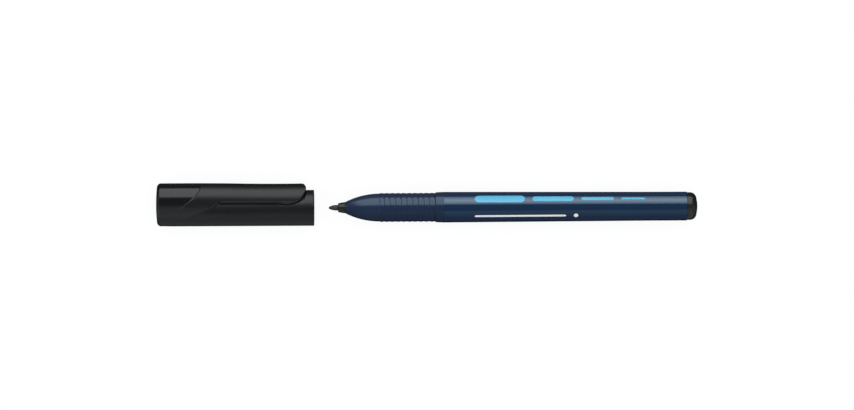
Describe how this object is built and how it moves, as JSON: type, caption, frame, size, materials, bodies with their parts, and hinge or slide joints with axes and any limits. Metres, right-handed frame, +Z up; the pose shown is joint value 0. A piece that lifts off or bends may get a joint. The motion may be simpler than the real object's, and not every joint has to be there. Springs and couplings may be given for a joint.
{
  "type": "permanent marker",
  "caption": "Slim permanent marker with a fibre bullet nib, ribbed grip and tapered barrel; its clip cap is pulled off in front of the nib and slides on along the axis.",
  "frame": {"origin": "under the middle of the part's box, on the surface that the cap's flat side rests on", "axes": "+X along the marker's axis from nib to tail, +Y the way the pocket clip points, +Z up out of the surface"},
  "size_m": [0.184, 0.0146, 0.0122],
  "materials": {
    "barrel_navy": "glossy moulded plastic",
    "grip_navy": "satin moulded plastic",
    "holder_black": "satin moulded plastic",
    "nib_fibre": "pressed fibre soaked with black ink",
    "ink_felt": "fibre bundle soaked with black ink",
    "core_film": "thin film",
    "plug_black": "satin-gloss moulded plastic",
    "cap_black": "fine matte texture, with a polished crown",
    "seal_white": "natural moulded plastic"
  },
  "bodies": {
    "pen": {"barrel": "barrel_navy", "grip_section": "grip_navy", "nib_holder": "holder_black", "nib": "nib_fibre", "ink_core": "ink_felt", "core_wrap": "core_film", "end_plug": "plug_black"},
    "cap": {"cap_shell": "cap_black", "inner_cap": "seal_white"},
    "clip": {"pocket_clip": "cap_black"}
  },
  "joints": [
    {"name": "cap_slide", "type": "slide", "parent": "pen", "child": "cap", "axis": [1, 0, 0], "range_m": [0, 0.0441]},
    {"name": "clip_flex", "type": "hinge", "parent": "cap", "child": "clip", "pos_m": [-0.07016, 0.00734, 0.00609], "axis": [0, 0, 1], "range_deg": [0, 5], "stiffness_Nm_per_rad": 1.5}
  ]
}
